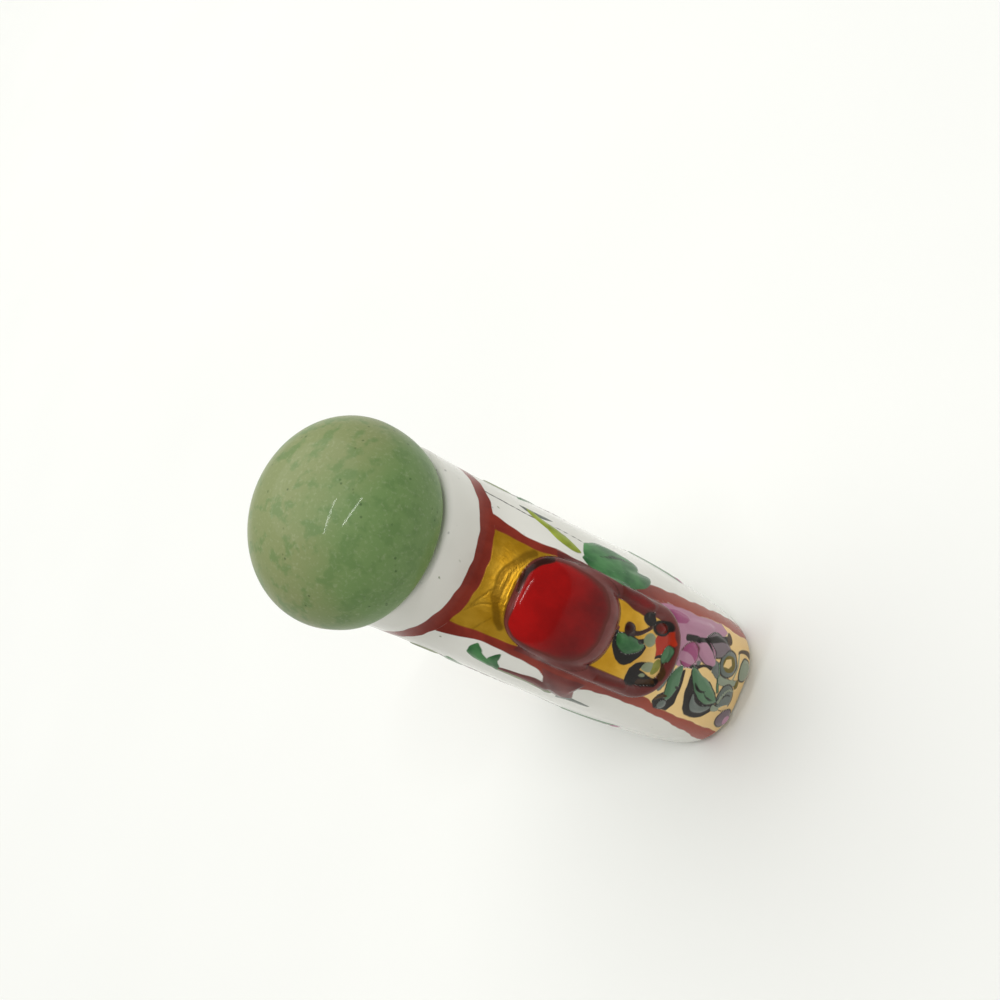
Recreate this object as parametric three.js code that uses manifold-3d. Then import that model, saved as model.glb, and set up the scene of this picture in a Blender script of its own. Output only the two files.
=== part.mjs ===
// A small flattened snuff bottle: hollow moulded porcelain with a round neck and an oval foot rim, a raised
// boss and hanging loop on each narrow side, and a domed stone stopper held in the neck by a cork plug.
// Millimetres, +Z up. The origin is on the standing plane under the middle of the bottle; the broad faces
// look along -Y and +Y, and the narrow sides along -X and +X.
import * as THREE from 'three';
import { mergeVertices } from 'three/addons/utils/BufferGeometryUtils.js';
import Module from 'manifold-3d';

const wasm = await Module();
wasm.setup();

// ---- driving dimensions -------------------------------------------------------------------------------
const halfWidth = 15.0; // middle to narrow side, at the belly
const halfDepth = 8.65; // middle to broad face, at the belly
const neckRadius = 7.95;
const neckBase = 39.7; // height where the shoulder has become the round neck
const mouthHeight = 43.6;
const boreRadius = 4.5;
const wall = 2.3; // porcelain between the outside and the hollow
const floorHeight = 3.4; // inside of the bottom
const footTurn = 1.8; // radius of the turn from wall to foot
const footRimWidth = 1.7;
const footRecess = 0.9;
const lipRound = 0.6;
const roundedCorners = 3.1; // superellipse exponent of the body's plan, where 2 is an ellipse

const bossHalfWidth = 4.0;
const bossHalfLength = 5.25;
const bossCorner = 2.6;
const bossMiddle = 9.9; // down the side from the neck base
const bossRise = 1.2;
const bossLean = 0.9; // how far its crown stands towards the neck
const bossRoot = 0.7; // how far the boss reaches into the wall behind it
const loopTop = 8.0; // down the side to the upper ends of the loop's arms
const loopMiddle = 20.9; // down the side to the middle of its round end
const loopRadius = 4.2; // to the middle of its band
const loopHalfBand = 0.9;
const loopRise = 0.65;
const loopTaper = 3.0; // length over which an arm's upper end rises out of the wall
const loopRoot = 0.5;

const stopperRadius = 9.0;
const stopperCrown = 7.4; // widest level up to the top
const stopperUnder = 3.2; // widest level down to the flat underside
const stopperSeatRadius = 7.7;
const stopperShift = -0.6; // the stone sits a little off the bottle's middle
const corkTopRadius = 4.1;
const corkTipRadius = 3.8;
const corkLength = 5.6;
const seatGap = 0.3;

// ---- outlines -----------------------------------------------------------------------------------------
// Half the bottle's outline seen from the front: wall, rounded shoulder, hollow sweep into the neck.
const sideOutline = new THREE.CurvePath();
const shoulderTurn = new THREE.Vector2(11.6, 35.6);
sideOutline.add(new THREE.CubicBezierCurve(
  new THREE.Vector2(14.3, 0), new THREE.Vector2(14.9, 4),
  new THREE.Vector2(halfWidth, 9), new THREE.Vector2(halfWidth, 18)));
sideOutline.add(new THREE.CubicBezierCurve(
  new THREE.Vector2(halfWidth, 18), new THREE.Vector2(halfWidth, 28),
  new THREE.Vector2(14.0, 33.2), shoulderTurn));
sideOutline.add(new THREE.CubicBezierCurve(
  shoulderTurn, new THREE.Vector2(9.7, 37.5),
  new THREE.Vector2(neckRadius, 38.0), new THREE.Vector2(neckRadius, neckBase)));

// Half the outline seen from a narrow side: fullest low down, easing to the neck.
const frontOutline = new THREE.CurvePath();
frontOutline.add(new THREE.CubicBezierCurve(
  new THREE.Vector2(8.15, 0), new THREE.Vector2(8.5, 3),
  new THREE.Vector2(halfDepth, 7), new THREE.Vector2(halfDepth, 12)));
frontOutline.add(new THREE.CubicBezierCurve(
  new THREE.Vector2(halfDepth, 12), new THREE.Vector2(halfDepth, 20),
  new THREE.Vector2(neckRadius, 25), new THREE.Vector2(neckRadius, neckBase)));

// The hollow: its half-width and half-depth, a wall inside the outlines above.
const innerSide = new THREE.CurvePath();
innerSide.add(new THREE.CubicBezierCurve(
  new THREE.Vector2(10.6, floorHeight), new THREE.Vector2(12.3, floorHeight + 0.4),
  new THREE.Vector2(halfWidth - wall, 8), new THREE.Vector2(halfWidth - wall, 18)));
innerSide.add(new THREE.CubicBezierCurve(
  new THREE.Vector2(halfWidth - wall, 18), new THREE.Vector2(halfWidth - wall, 27),
  new THREE.Vector2(11.6, 31.4), new THREE.Vector2(8.6, 33.9)));
innerSide.add(new THREE.CubicBezierCurve(
  new THREE.Vector2(8.6, 33.9), new THREE.Vector2(6.4, 35.7),
  new THREE.Vector2(boreRadius, 36.6), new THREE.Vector2(boreRadius, neckBase)));
const innerFront = new THREE.CurvePath();
innerFront.add(new THREE.CubicBezierCurve(
  new THREE.Vector2(4.6, floorHeight), new THREE.Vector2(5.9, floorHeight + 0.4),
  new THREE.Vector2(halfDepth - wall, 8), new THREE.Vector2(halfDepth - wall, 14)));
innerFront.add(new THREE.CubicBezierCurve(
  new THREE.Vector2(halfDepth - wall, 14), new THREE.Vector2(halfDepth - wall, 24),
  new THREE.Vector2(boreRadius, 31), new THREE.Vector2(boreRadius, neckBase)));

// A rising outline as a table that gives its half-width, and the length run along it, at any height.
function outlineTable(outline, divisions = 240) {
  const points = outline.getPoints(divisions);
  const lengths = [0];
  for (let i = 1; i < points.length; i++) lengths.push(lengths[i - 1] + points[i].distanceTo(points[i - 1]));
  const at = (height, values) => {
    if (height <= points[0].y) return values(0);
    for (let i = 1; i < points.length; i++) {
      if (height <= points[i].y) {
        const share = (height - points[i - 1].y) / Math.max(points[i].y - points[i - 1].y, 1e-9);
        return THREE.MathUtils.lerp(values(i - 1), values(i), share);
      }
    }
    return values(points.length - 1);
  };
  return {
    half: (height) => at(height, (i) => points[i].x),
    length: (height) => at(height, (i) => lengths[i]),
    total: lengths[lengths.length - 1],
  };
}

const side = outlineTable(sideOutline);
const front = outlineTable(frontOutline);
const hollowSide = outlineTable(innerSide);
const hollowFront = outlineTable(innerFront);

// Where a bearing meets a plan outline of the given half-sizes.
function planPoint(bearing, alongX, alongY, exponent) {
  const reach = (Math.abs(Math.cos(bearing)) / alongX) ** exponent
    + (Math.abs(Math.sin(bearing)) / alongY) ** exponent;
  const radius = reach ** (-1 / exponent);
  return new THREE.Vector2(radius * Math.cos(bearing), radius * Math.sin(bearing));
}

// The body's plan turns from a rounded oblong to a circle up the shoulder.
function exponentAt(height, start, end) {
  return THREE.MathUtils.lerp(roundedCorners, 2, THREE.MathUtils.smoothstep(height, start, end));
}

// Bearings round a plan outline: even steps across the narrow sides, then even steps along the broad faces.
function bearingsRound(alongX, alongY, sideShare, sideSteps, faceSteps) {
  const lift = (share) => (1 - share ** roundedCorners) ** (1 / roundedCorners);
  const quarter = [];
  for (let i = 0; i < sideSteps; i++) {
    const share = sideShare * i / sideSteps;
    quarter.push(Math.atan2(alongY * share, alongX * lift(share)));
  }
  for (let i = 0; i < faceSteps; i++) {
    const share = lift(sideShare) * (1 - i / faceSteps);
    quarter.push(Math.atan2(alongY * lift(share), alongX * share));
  }
  const half = [...quarter, Math.PI / 2, ...quarter.slice(1).reverse().map((b) => Math.PI - b)];
  return [...half, ...half.map((b) => b + Math.PI)];
}

// ---- closed lofts -------------------------------------------------------------------------------------
// Rows of points, all with the same number of points round, become one closed body with fanned ends.
function loft(rows) {
  const positions = [];
  const indices = [];
  const around = rows[0].length;
  for (const row of rows) for (const point of row) positions.push(point.x, point.y, point.z);
  for (let r = 0; r + 1 < rows.length; r++) {
    for (let i = 0; i < around; i++) {
      const a = r * around + i;
      const b = r * around + (i + 1) % around;
      indices.push(a, b, b + around, a, b + around, a + around);
    }
  }
  const centre = (row) => row.reduce((sum, p) => sum.add(p), new THREE.Vector3()).divideScalar(around);
  const low = positions.length / 3;
  const high = low + 1;
  const top = (rows.length - 1) * around;
  positions.push(...centre(rows[0]).toArray(), ...centre(rows[rows.length - 1]).toArray());
  for (let i = 0; i < around; i++) {
    const next = (i + 1) % around;
    indices.push(low, next, i, high, top + i, top + next);
  }
  const geometry = new THREE.BufferGeometry();
  geometry.setAttribute('position', new THREE.Float32BufferAttribute(positions, 3));
  geometry.setIndex(indices);
  return geometry;
}

function planRow(bearings, height, alongX, alongY, exponent) {
  return bearings.map((bearing) => {
    const p = planPoint(bearing, alongX, alongY, exponent);
    return new THREE.Vector3(p.x, p.y, height);
  });
}

function toSolid(geometry) {
  const bare = geometry.clone();
  bare.deleteAttribute('normal');
  bare.deleteAttribute('uv');
  const merged = mergeVertices(bare);
  return new wasm.Manifold(new wasm.Mesh({
    numProp: 3,
    vertProperties: new Float32Array(merged.attributes.position.array),
    triVerts: new Uint32Array(merged.index.array),
  }));
}

function toGeometry(solid) {
  const mesh = solid.getMesh();
  const geometry = new THREE.BufferGeometry();
  geometry.setAttribute('position', new THREE.Float32BufferAttribute(mesh.vertProperties, 3));
  geometry.setIndex(Array.from(mesh.triVerts));
  return geometry;
}

// ---- the bottle ---------------------------------------------------------------------------------------
const turningStarts = 26; // height where the body's plan begins to turn round

function bodyRow(bearings, height, inset = 0) {
  return planRow(bearings, height, side.half(height) - inset, front.half(height) - inset,
    exponentAt(height, turningStarts, neckBase));
}

function bodySolid() {
  const round = bearingsRound(halfWidth, halfDepth, 0.72, 5, 7);
  const rows = [];
  const turnSteps = 4;
  for (let i = 0; i < turnSteps; i++) {
    const angle = Math.PI / 2 * i / turnSteps;
    rows.push(bodyRow(round, footTurn * (1 - Math.cos(angle)), footTurn * (1 - Math.sin(angle))));
  }
  const wallLength = side.total - side.length(footTurn);
  const wallSteps = 26;
  for (let i = 0; i <= wallSteps; i++) rows.push(bodyRow(round, heightDown(wallLength * (1 - i / wallSteps))));
  for (const angle of [0, Math.PI / 4, Math.PI / 2]) {
    const radius = neckRadius - lipRound * (1 - Math.cos(angle));
    rows.push(planRow(round, mouthHeight - lipRound * (1 - Math.sin(angle)), radius, radius, 2));
  }
  return toSolid(loft(rows));
}

// Height of the place a given length down the side outline from the neck base.
function heightDown(down) {
  let low = 0;
  let high = neckBase;
  for (let pass = 0; pass < 40; pass++) {
    const middle = (low + high) / 2;
    if (side.length(middle) < side.total - down) low = middle;
    else high = middle;
  }
  return low;
}

// A place on the +X narrow side, given across it and down it, raised off the body by a given rise.
function sidePlace(across, down, rise) {
  const onBody = (y, height) => {
    const exponent = exponentAt(height, turningStarts, neckBase);
    const share = Math.abs(y) / front.half(height);
    return new THREE.Vector3(side.half(height) * (1 - share ** exponent) ** (1 / exponent), y, height);
  };
  const height = heightDown(down);
  const step = 0.05;
  const alongY = onBody(across + step, height).sub(onBody(across - step, height));
  const alongZ = onBody(across, height + step).sub(onBody(across, height - step));
  return onBody(across, height).addScaledVector(alongY.cross(alongZ).normalize(), rise);
}

// The boss is a pad with rounded corners, steep towards the neck and easing away towards the foot.
function bossSolid() {
  const cornerSteps = 6;
  const outline = new THREE.Shape();
  const [wide, long, turn] = [bossHalfWidth, bossHalfLength, bossCorner];
  outline.absarc(wide - turn, long - turn, turn, 0, Math.PI / 2);
  outline.absarc(turn - wide, long - turn, turn, Math.PI / 2, Math.PI);
  outline.absarc(turn - wide, turn - long, turn, Math.PI, Math.PI * 1.5);
  outline.absarc(wide - turn, turn - long, turn, Math.PI * 1.5, Math.PI * 2);
  const points = outline.getPoints(cornerSteps).slice(0, -1);
  const steps = [[1.05, -bossRoot], [1.05, 0], [1.0, 0.3], [0.9, 0.6], [0.75, 0.85], [0.5, 0.97], [0.25, 1.0]];
  return toSolid(loft(steps.map(([scale, rise]) => {
    const middle = bossMiddle - bossLean * Math.max(rise, 0);
    return points.map((p) => sidePlace(p.x * scale, middle - p.y * scale, rise > 0 ? rise * bossRise : rise));
  })));
}

// The loop is a half-round band: two arms that come down past the boss, and a round end that joins them.
function loopSolid() {
  const armSteps = 7;
  const bendSteps = 16;
  const bandSteps = 6;
  const armLength = loopMiddle - loopTop;
  const stations = [];
  for (let i = 0; i < armSteps; i++) stations.push([0, armLength * (1 - i / armSteps)]);
  for (let i = 0; i <= bendSteps; i++) stations.push([Math.PI * i / bendSteps, 0]);
  for (let i = 1; i <= armSteps; i++) stations.push([Math.PI, armLength * i / armSteps]);
  return toSolid(loft(stations.map(([turn, up]) => {
    const place = (offset, rise) => sidePlace((loopRadius + offset) * Math.cos(turn),
      loopMiddle - up + (loopRadius + offset) * Math.sin(turn), rise);
    const rise = loopRise * THREE.MathUtils.smoothstep(armLength - up, -loopTaper / 4, loopTaper);
    const row = [place(-loopHalfBand, -loopRoot), place(loopHalfBand, -loopRoot)];
    for (let k = 0; k <= bandSteps; k++) {
      const angle = Math.PI * k / bandSteps;
      row.push(place(loopHalfBand * Math.cos(angle), rise * Math.sin(angle)));
    }
    return row;
  })));
}

function hollowSolid() {
  const steps = 32;
  const round = Array.from({ length: steps }, (_, i) => 2 * Math.PI * i / steps);
  const rows = [];
  const heights = [0, 0.5, 1.4, 3.2, 8, 14, 20, 24, 27, 29.2, 30.8, 32, 33.2, 34.6].map((h) => floorHeight + h);
  for (const height of heights) {
    rows.push(planRow(round, height, hollowSide.half(height), hollowFront.half(height),
      exponentAt(height, 22, neckBase - 4)));
  }
  const pastMouth = 1;
  rows.push(planRow(round, mouthHeight + pastMouth, boreRadius, boreRadius, 2));
  return toSolid(loft(rows));
}

function recessSolid() {
  const inset = footTurn + footRimWidth;
  const below = 1;
  const [alongX, alongY] = [side.half(0) - inset, front.half(0) - inset];
  const round = bearingsRound(alongX, alongY, 0.8, 5, 5);
  return toSolid(loft([
    planRow(round, -below, alongX, alongY, roundedCorners),
    planRow(round, footRecess, alongX - 0.3, alongY - 0.3, roundedCorners),
  ]));
}

// ---- the stopper and its cork -------------------------------------------------------------------------
function stopperGeometry() {
  const profile = [new THREE.Vector2(0, -stopperUnder)];
  const lowerSteps = 5;
  for (let i = 0; i <= lowerSteps; i++) {
    const angle = Math.PI / 2 * (1 - i / lowerSteps);
    profile.push(new THREE.Vector2(stopperSeatRadius + (stopperRadius - stopperSeatRadius) * Math.cos(angle),
      -stopperUnder * Math.sin(angle)));
  }
  const crownSteps = 11;
  for (let i = 1; i <= crownSteps; i++) {
    const angle = Math.PI / 2 * i / crownSteps;
    const radius = i === crownSteps ? 0 : stopperRadius * Math.cos(angle);
    profile.push(new THREE.Vector2(radius, stopperCrown * Math.sin(angle)));
  }
  return new THREE.LatheGeometry(profile, 40).rotateX(Math.PI / 2);
}

function corkGeometry() {
  const tipChamfer = 0.4;
  const profile = [
    new THREE.Vector2(0, -corkLength),
    new THREE.Vector2(corkTipRadius - tipChamfer, -corkLength),
    new THREE.Vector2(corkTipRadius, -corkLength + tipChamfer),
    new THREE.Vector2(corkTopRadius, 0),
    new THREE.Vector2(0, 0),
  ];
  return new THREE.LatheGeometry(profile, 24).rotateX(Math.PI / 2);
}

// ---- assembly -----------------------------------------------------------------------------------------
function piece(name, geometry, color, roughness) {
  const mesh = new THREE.Mesh(geometry, new THREE.MeshStandardMaterial({ color, roughness, metalness: 0 }));
  mesh.name = name;
  return mesh;
}

const bottle = new THREE.Group();
const relief = loopSolid().add(bossSolid());
const moulded = bodySolid().add(relief).add(relief.rotate([0, 0, 180]));
bottle.add(piece('bottle', toGeometry(moulded.subtract(hollowSolid()).subtract(recessSolid())), 0xe9ebe6, 0.12));

const stopperTop = new THREE.Group();
stopperTop.position.set(0, stopperShift, mouthHeight + seatGap + stopperUnder);
stopperTop.add(piece('stopper', stopperGeometry(), 0x7a9568, 0.25));
bottle.add(stopperTop);

const cork = piece('stopper_cork', corkGeometry(), 0xb08a5c, 0.85);
cork.position.set(0, 0, mouthHeight);
bottle.add(cork);

export default bottle;
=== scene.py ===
import math

import bmesh
import bpy
import numpy as np
from mathutils import Matrix, Vector


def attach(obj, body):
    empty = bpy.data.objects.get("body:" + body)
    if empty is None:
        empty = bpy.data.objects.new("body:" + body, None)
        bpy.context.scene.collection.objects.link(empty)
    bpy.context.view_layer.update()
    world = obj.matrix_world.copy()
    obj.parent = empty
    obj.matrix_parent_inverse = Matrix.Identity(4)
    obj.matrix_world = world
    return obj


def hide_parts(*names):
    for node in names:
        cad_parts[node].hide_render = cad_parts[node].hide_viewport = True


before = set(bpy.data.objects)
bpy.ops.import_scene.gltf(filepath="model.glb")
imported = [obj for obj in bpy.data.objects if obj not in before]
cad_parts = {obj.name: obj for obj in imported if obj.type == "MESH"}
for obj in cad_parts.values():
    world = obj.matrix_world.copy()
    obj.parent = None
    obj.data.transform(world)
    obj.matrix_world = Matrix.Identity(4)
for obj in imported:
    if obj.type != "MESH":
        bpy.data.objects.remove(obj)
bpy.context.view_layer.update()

# ---- the porcelain bottle -----------------------------------------------------------------------------
# One hollow, flattened body of moulded porcelain with a round neck and an oval foot rim. On each narrow side
# it has a cushion-shaped boss with a loop hanging from under it, moulded in one with the wall. Enamels and
# gilding are painted over the fired glaze. Its lengths are millimetres until the mesh is made.
millimetre = 0.001
half_depth = 8.65
neck_radius = 7.95
neck_base = 39.7
mouth_height = 43.6
bore_radius = 4.5
lip_round = 0.6
rounded_corners = 3.1
foot_turn = 1.8
foot_rim = 1.7
foot_recess = 0.9
recess_turn = 0.3  # from the rim's inner edge in to the flat of the recess
neck_turn_from = 26  # where the plan starts to turn from an oblong into the neck's circle
hollow_turn_from = 22
inner_floor = 3.4


def smooth(value, start, end):
    """0 before start, 1 after end, easing between them."""
    share = np.clip((value - start) / (end - start), 0, 1)
    return share * share * (3 - 2 * share)


def outline(*stretches):
    """Points along an outline of cubic stretches, each given by four (half-width, height) places."""
    t = np.linspace(0, 1, 160)[:, None]
    runs = []
    for a, b, c, d in np.array(stretches, float):
        runs.append((1 - t) ** 3 * a + 3 * (1 - t) ** 2 * t * b + 3 * (1 - t) * t * t * c + t ** 3 * d)
    return np.vstack([runs[0]] + [run[1:] for run in runs[1:]])


side_outline = outline(((14.3, 0), (14.9, 4), (15, 9), (15, 18)),
                       ((15, 18), (15, 28), (14.0, 33.2), (11.6, 35.6)),
                       ((11.6, 35.6), (9.7, 37.5), (neck_radius, 38.0), (neck_radius, neck_base)))
front_outline = outline(((8.15, 0), (8.5, 3), (half_depth, 7), (half_depth, 12)),
                        ((half_depth, 12), (half_depth, 20), (neck_radius, 25), (neck_radius, neck_base)))
hollow_side = outline(((10.6, inner_floor), (12.3, 3.8), (12.7, 8), (12.7, 18)),
                      ((12.7, 18), (12.7, 27), (11.6, 31.4), (8.6, 33.9)),
                      ((8.6, 33.9), (6.4, 35.7), (bore_radius, 36.6), (bore_radius, neck_base)))
hollow_front = outline(((4.6, inner_floor), (5.9, 3.8), (6.35, 8), (6.35, 14)),
                       ((6.35, 14), (6.35, 24), (bore_radius, 31), (bore_radius, neck_base)))
side_steps = np.hypot(*np.diff(side_outline, axis=0).T)
side_run = np.concatenate(([0], np.cumsum(side_steps)))


def half_at(points, height):
    return np.interp(height, points[:, 1], points[:, 0])


def corner_power(height, start, end):
    """The plan's exponent, from a rounded oblong low down to a circle at the neck."""
    return rounded_corners + (2 - rounded_corners) * smooth(height, start, end)


# Rows run from the middle of the foot up the outside, over the lip and down the hollow to its floor. A row
# is half its width, half its depth, its height and its plan's exponent.
foot_half = side_outline[0, 0]
foot_deep = front_outline[0, 0]
rows = []
for share in np.linspace(0, 1, 7):
    inset = foot_turn + foot_rim + recess_turn
    rows.append(((foot_half - inset) * share, (foot_deep - inset) * share, foot_recess, rounded_corners))
for inset, height in ((0.22, 0.62), (0.12, 0.2), (0.0, 0.04), (-0.15, 0.0), (-foot_rim + 0.1, 0.0)):
    inset += foot_turn + foot_rim
    rows.append((foot_half - inset, foot_deep - inset, height, rounded_corners))
first_outer = len(rows)
foot_steps = 9
for step in range(foot_steps):
    angle = math.pi / 2 * step / foot_steps
    inset, height = foot_turn * (1 - math.sin(angle)), foot_turn * (1 - math.cos(angle))
    rows.append((half_at(side_outline, height) - inset, half_at(front_outline, height) - inset,
                 height, rounded_corners))
wall_length = side_run[-1] - np.interp(foot_turn, side_outline[:, 1], side_run)
relief_end = 27.5
lower_steps = 74
upper_steps = 186
wall_down = np.concatenate((np.linspace(wall_length, relief_end, lower_steps, endpoint=False),
                            np.linspace(relief_end, 0, upper_steps)))
for depth in wall_down:
    height = np.interp(side_run[-1] - depth, side_run, side_outline[:, 1])
    rows.append((half_at(side_outline, height), half_at(front_outline, height), height,
                 corner_power(height, neck_turn_from, neck_base)))
for height in np.linspace(neck_base, mouth_height - lip_round, 13)[1:]:
    rows.append((neck_radius, neck_radius, height, 2))
last_outer = len(rows)
for angle in np.linspace(0, math.pi / 2, 6)[1:]:
    inset = lip_round * (1 - math.cos(angle))
    height = mouth_height - lip_round * (1 - math.sin(angle))
    rows.append((neck_radius - inset, neck_radius - inset, height, 2))
for inset, height in ((0.4, 0.0), (0.12, -0.03), (0.0, -0.2)):
    rows.append((bore_radius + inset, bore_radius + inset, mouth_height + height, 2))
for height in (39.7, 38, 36.6, 35.6, 34.6, 33.4, 31.6, 29, 25, 20, 15, 10, 6.6, 4.8, 3.9, 3.5):
    rows.append((half_at(hollow_side, height), half_at(hollow_front, height), height,
                 corner_power(height, hollow_turn_from, neck_base - 4)))
for share in (0.97, 0.6, 0.0):
    rows.append((hollow_side[0, 0] * share, hollow_front[0, 0] * share, inner_floor, rounded_corners))
rows = np.array(rows, float)

# Columns go round from a corner of the +X narrow side: finely across that side, and wider apart along the
# broad faces towards the other one.
front_columns = 100
back_columns = 52
face_columns = 68
narrow_share = np.linspace(-1, 1, front_columns, endpoint=False)
back_share = np.linspace(1, -1, back_columns, endpoint=False)
stretch = np.linspace(0, 1, face_columns + 1)
crowding = 0.45  # how much the columns of a broad face crowd towards the +X side
face_share = 1 - 2 * ((1 - crowding) * stretch + crowding * stretch ** 2)
share = np.concatenate((narrow_share, face_share[:-1], back_share, face_share[:0:-1]))
sides = np.repeat(["+X", "+Y", "-X", "-Y"], [front_columns, face_columns, back_columns, face_columns])
half_x, half_y, level, power = rows.T[:, :, None]
corner = 2 ** (-1 / power)
reach = (1 - (corner * abs(share)) ** power) ** (1 / power)
narrow = (sides == "+X") | (sides == "-X")
outward = np.where((sides == "+X") | (sides == "+Y"), 1, -1)
along_x = np.where(narrow, reach * outward, corner * share) * half_x
along_y = np.where(narrow, corner * share, reach * outward) * half_y
places = np.stack((along_x, along_y, np.broadcast_to(level, along_x.shape)), axis=-1)
columns = len(share)


def spread(middle, half_side):
    """How far round the wall every place is from the middle of a narrow side, positive anticlockwise. Across
    the narrow side itself it is the plain distance from the middle plane."""
    result = np.zeros(places.shape[:2])
    for turn in (1, -1):
        order = (middle + turn * np.arange(columns // 2 + 1)) % columns
        path = places[:, order]
        run = np.linalg.norm(np.diff(path, axis=1), axis=2).cumsum(axis=1)
        run = np.hstack((np.zeros((len(run), 1)), run))
        depth = abs(path[:, :, 1])
        past = depth[:, half_side:half_side + 1] + run - run[:, half_side:half_side + 1]
        result[:, order] = turn * np.where(np.arange(len(order)) <= half_side, depth, past)
    return result


# The moulding is laid out flat: across the narrow side, and down it from the neck base.
front_middle = front_columns // 2
back_middle = front_columns + face_columns + back_columns // 2
front_across = spread(front_middle, front_columns // 2)
back_across = spread(back_middle, back_columns // 2)
profile_run = np.linalg.norm(np.diff(places[:, front_middle], axis=0), axis=1).cumsum()
profile_run = np.concatenate(([0], profile_run))
neck_row = first_outer + foot_steps + lower_steps + upper_steps - 1
down = (profile_run[neck_row] - profile_run)[:, None]
outer = (np.arange(len(rows)) >= first_outer) & (np.arange(len(rows)) < last_outer)

boss_half_width = 4.2
boss_half_length = 5.5
boss_middle = 9.9
boss_rise = 1.2
boss_lean = 0.9  # its crown stands this much nearer the neck than its foot does
boss_power = 2.6
boss_flatness = 4
boss_shoulder = 0.6
boss_rounds = 14  # the boss leans by its own height, which is found in rounds
loop_middle = 20.9
loop_radius = 3.85
loop_half_band = 0.6
loop_rise = 0.55
loop_start = 7.5
loop_taper = 4
fillet = 0.12


def boss_share(across):
    """The boss's height at every place, as a share of its rise."""
    height = np.full(across.shape, 0.5)
    for _ in range(boss_rounds):
        slid = down - boss_middle + boss_lean * height
        size = (abs(across / boss_half_width) ** boss_power + abs(slid / boss_half_length) ** boss_power)
        wanted = np.clip(1 - size ** (boss_flatness / boss_power), 0, 1) ** boss_shoulder
        height = (height + wanted) / 2
    return height


def loop_distance(across):
    """Distance from the middle line of the loop's band."""
    below = np.maximum(down - loop_middle, 0)
    return abs(np.hypot(across, below) - loop_radius)


def moulding(across):
    """How far the boss and the loop together stand out of the wall, with a fillet where they meet."""
    band = np.clip(1 - (loop_distance(across) / loop_half_band) ** 2, 0, 1) ** 0.5
    loop = loop_rise * band * smooth(down, loop_start, loop_start + loop_taper)
    boss = boss_rise * boss_share(across)
    return np.log(np.exp(loop / fillet) + np.exp(boss / fillet) - 1) * fillet


rise = np.where(outer[:, None], moulding(front_across) + moulding(back_across), 0)

# The painting: iron-red bands, gilt grounds, and leaves, petals and scrolls with dark outlines. Each colour
# is kept as the distance inside its own edge, so that its edges stay crisp between the mesh's points.
colours = ("maroon", "plum", "ruby", "gold", "emerald", "celadon", "olive", "orange", "magenta", "pink",
           "mauve", "grey", "umber", "black")
unpainted = -2.0
painted_from = -3.9  # above this, near the lip, there is only glaze
elsewhere = 99.0
paint = {colour: np.full(front_across.shape, unpainted) for colour in colours}
swelling = np.zeros(front_across.shape)


class Flat:
    """One side of the wall laid out flat, to draw on in millimetres, with turns in degrees. Every figure is
    given back as the distance inside its edge."""

    def __init__(self, across, down):
        sway = 0.05 * np.sin(1.3 * down + 1.7 * across) + 0.02 * np.sin(3.1 * down - 4.1 * across)
        drift = 0.05 * np.sin(2.7 * across - 1.1 * down + 2) + 0.02 * np.sin(5.1 * across + 2.3 * down)
        self.across = across + sway
        self.down = down + drift

    def oval(self, at, half, turn=0):
        angle = math.radians(turn)
        u = (self.across - at[0]) * math.cos(angle) + (self.down - at[1]) * math.sin(angle)
        v = (self.down - at[1]) * math.cos(angle) - (self.across - at[0]) * math.sin(angle)
        return (1 - np.hypot(u / half[0], v / half[1])) * min(half)

    def follow(self, start, bend, end):
        """How far every place is from a bent line, and what share of the line lies before its nearest
        point."""
        t = np.linspace(0, 1, 11)[:, None]
        path = (1 - t) ** 2 * np.array(start) + 2 * t * (1 - t) * np.array(bend) + t * t * np.array(end)
        nearest = np.full(self.across.shape, np.inf)
        share = np.zeros(self.across.shape)
        for step, ((x0, y0), (x1, y1)) in enumerate(zip(path, path[1:])):
            run = (self.across - x0) * (x1 - x0) + (self.down - y0) * (y1 - y0)
            run = np.clip(run / ((x1 - x0) ** 2 + (y1 - y0) ** 2), 0, 1)
            gap = np.hypot(self.across - x0 - run * (x1 - x0), self.down - y0 - run * (y1 - y0))
            closer = gap < nearest
            nearest = np.where(closer, gap, nearest)
            share = np.where(closer, (step + run) / (len(path) - 1), share)
        return nearest, share

    def stroke(self, start, bend, end, wide, last=None):
        """A curved brush stroke, its half-width going from wide at the start to last at the end."""
        gap, share = self.follow(start, bend, end)
        last = wide if last is None else last
        return wide + (last - wide) * share - gap

    def leaf(self, start, bend, end, wide):
        """A leaf or petal, pointed at both ends and widest half way."""
        gap, share = self.follow(start, bend, end)
        return wide * (4 * share * (1 - share)) ** 0.7 - gap

    def patch(self, *corners):
        """A straight-sided patch, whose corners may be hollow."""
        gap = np.full(self.across.shape, np.inf)
        inside = np.zeros(self.across.shape, bool)
        for (x0, y0), (x1, y1) in zip(corners, corners[1:] + corners[:1]):
            run = (self.across - x0) * (x1 - x0) + (self.down - y0) * (y1 - y0)
            run = np.clip(run / ((x1 - x0) ** 2 + (y1 - y0) ** 2), 0, 1)
            away = np.hypot(self.across - x0 - run * (x1 - x0), self.down - y0 - run * (y1 - y0))
            np.minimum(gap, away, out=gap)
            if y0 != y1:
                crossing = x0 + (self.down - y0) * (x1 - x0) / (y1 - y0)
                inside ^= ((self.down >= y0) != (self.down >= y1)) & (self.across < crossing)
        return np.where(inside, gap, -gap)


def lay(colour, shape):
    """Paints a shape over whatever is there already."""
    for under in colours:
        paint[under] = np.minimum(paint[under], -shape)
    paint[colour] = np.maximum(paint[colour], shape)


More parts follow.
